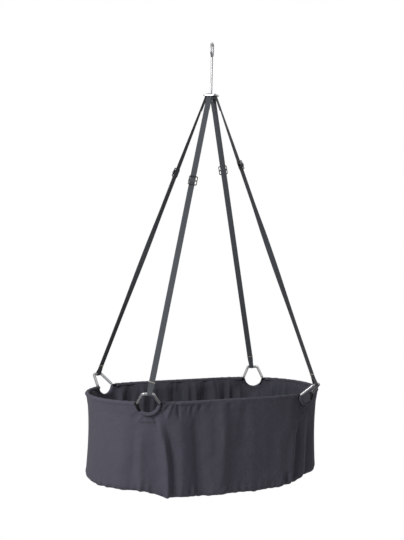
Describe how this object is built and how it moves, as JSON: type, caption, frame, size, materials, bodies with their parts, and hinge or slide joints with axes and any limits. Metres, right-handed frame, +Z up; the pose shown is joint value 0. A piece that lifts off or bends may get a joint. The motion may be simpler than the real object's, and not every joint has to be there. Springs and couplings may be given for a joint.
{
  "type": "hanging baby cradle",
  "caption": "Oval fabric cradle that hangs by height-adjustable webbing straps from a slotted steel plate, a ball swivel and a steel hook rod.",
  "frame": {"origin": "the point inside the eye of the hook rod that bears on the ceiling hook", "axes": "+X along the basket's length, +Y across it, away from the side with the long crease, +Z up"},
  "size_m": [0.8856, 0.4958, 1.5594],
  "materials": {
    "polished_steel": "polished",
    "gunmetal": "satin",
    "black_coated_steel": "satin",
    "slate_cover_cloth": "matte",
    "slate_lining_cloth": "matte",
    "slate_webbing": "matte",
    "plywood": "matte",
    "mattress_ticking": "matte",
    "black_nylon": "satin"
  },
  "bodies": {
    "hook": {"hook_rod": "polished_steel", "dome_nut": "polished_steel"},
    "swivel": {"swivel_ball": "polished_steel"},
    "tilt_ring": {"ball_seat": "black_nylon"},
    "hanger": {"hanger_plate": "polished_steel", "strap_front_right": "slate_webbing", "strap_back_right": "slate_webbing", "strap_back_left": "slate_webbing", "strap_front_left": "slate_webbing"},
    "basket": {"outer_cover": "slate_cover_cloth", "lining": "slate_lining_cloth", "base_board": "plywood", "mattress": "mattress_ticking", "rail_right": "black_coated_steel", "rail_back": "black_coated_steel", "rail_left": "black_coated_steel", "rail_front": "black_coated_steel", "bail_front_right": "polished_steel", "bail_back_right": "polished_steel", "bail_back_left": "polished_steel", "bail_front_left": "polished_steel", "u_bracket_front_right": "black_coated_steel", "u_bracket_back_right": "black_coated_steel", "u_bracket_back_left": "black_coated_steel", "u_bracket_front_left": "black_coated_steel", "ring_sleeve_front_right": "slate_cover_cloth", "ring_sleeve_back_right": "slate_cover_cloth", "ring_sleeve_back_left": "slate_cover_cloth", "ring_sleeve_front_left": "slate_cover_cloth"},
    "slider_fr": {"slider_front_right": "gunmetal"},
    "slider_br": {"slider_back_right": "gunmetal"},
    "slider_bl": {"slider_back_left": "gunmetal"},
    "slider_fl": {"slider_front_left": "gunmetal"},
    "keeper_fr": {"keeper_front_right": "polished_steel"},
    "keeper_br": {"keeper_back_right": "polished_steel"},
    "keeper_bl": {"keeper_back_left": "polished_steel"},
    "keeper_fl": {"keeper_front_left": "polished_steel"}
  },
  "joints": [
    {"name": "swivel_turn", "type": "hinge", "parent": "hook", "child": "swivel", "pos_m": [0, 0, -0.1878], "axis": [0, 0, 1], "continuous": true},
    {"name": "sideways_swing", "type": "hinge", "parent": "swivel", "child": "tilt_ring", "pos_m": [0, 0, -0.1878], "axis": [1, 0, 0], "range_deg": [-8, 8]},
    {"name": "lengthwise_swing", "type": "hinge", "parent": "tilt_ring", "child": "hanger", "pos_m": [0, 0, -0.1878], "axis": [0, 1, 0], "range_deg": [-8, 8]},
    {"name": "height", "type": "slide", "parent": "hanger", "child": "basket", "axis": [0, 0, 1], "range_m": [-0.08, 0.06], "deforming": ["strap_front_right", "strap_back_right", "strap_back_left", "strap_front_left"]},
    {"name": "slider_fr_travel", "type": "slide", "parent": "basket", "child": "slider_fr", "axis": [-0.476, 0.3563, 0.8041], "range_m": [-0.08, 0.06]},
    {"name": "slider_br_travel", "type": "slide", "parent": "basket", "child": "slider_br", "axis": [-0.4726, -0.3538, 0.8071], "range_m": [-0.08, 0.06]},
    {"name": "slider_bl_travel", "type": "slide", "parent": "basket", "child": "slider_bl", "axis": [0.4693, -0.3512, 0.8102], "range_m": [-0.08, 0.06]},
    {"name": "slider_fl_travel", "type": "slide", "parent": "basket", "child": "slider_fl", "axis": [0.4624, 0.3461, 0.8163], "range_m": [-0.08, 0.06]},
    {"name": "keeper_fr_travel", "type": "slide", "parent": "basket", "child": "keeper_fr", "axis": [-0.2827, 0.208, 0.9364], "range_m": [0, 0.12]},
    {"name": "keeper_br_travel", "type": "slide", "parent": "basket", "child": "keeper_br", "axis": [-0.2827, -0.208, 0.9364], "range_m": [0, 0.12]},
    {"name": "keeper_bl_travel", "type": "slide", "parent": "basket", "child": "keeper_bl", "axis": [0.2827, -0.208, 0.9364], "range_m": [0, 0.12]},
    {"name": "keeper_fl_travel", "type": "slide", "parent": "basket", "child": "keeper_fl", "axis": [0.2827, 0.208, 0.9364], "range_m": [0, 0.12]}
  ],
  "couplings": [
    {"joint": "slider_fr_travel", "follows": "height", "ratio": 0.9733},
    {"joint": "slider_br_travel", "follows": "height", "ratio": 0.9719},
    {"joint": "slider_bl_travel", "follows": "height", "ratio": 0.9705},
    {"joint": "slider_fl_travel", "follows": "height", "ratio": 0.9677}
  ]
}
